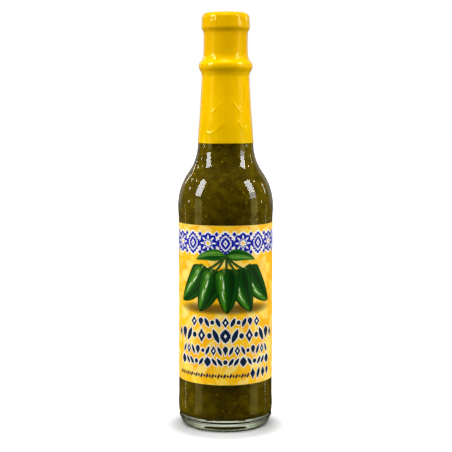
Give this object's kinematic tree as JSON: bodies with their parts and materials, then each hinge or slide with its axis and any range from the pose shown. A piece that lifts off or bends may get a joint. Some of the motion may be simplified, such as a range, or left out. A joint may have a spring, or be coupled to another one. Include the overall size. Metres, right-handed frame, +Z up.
{
  "type": "hot sauce bottle",
  "caption": "Slim long-necked clear glass bottle filled with green hot sauce, with a yellow shrunk sleeve over its cap and neck, a wrapped yellow paper label and a flat ring foot.",
  "frame": {"origin": "middle of the resting ring under the foot, on the surface that the bottle stands on", "axes": "+Z up along the bottle's axis; the middle of the label faces -Y; +X is to the right seen from the label's side"},
  "size_m": [0.0442, 0.0442, 0.191],
  "materials": {
    "clear_glass": "clear soda-lime glass, polished",
    "green_sauce": "thick olive-green chilli sauce with pale flecks",
    "cap_plastic": "yellow moulded plastic, satin",
    "sleeve_film": "glossy yellow shrunk film with soft creases",
    "label_paper": "coated yellow paper, satin, printed in blue, white and green"
  },
  "bodies": {
    "root": {"glass_bottle": "clear_glass", "sauce": "green_sauce", "screw_cap": "cap_plastic", "neck_sleeve": "sleeve_film", "label": "label_paper"}
  },
  "joints": []
}
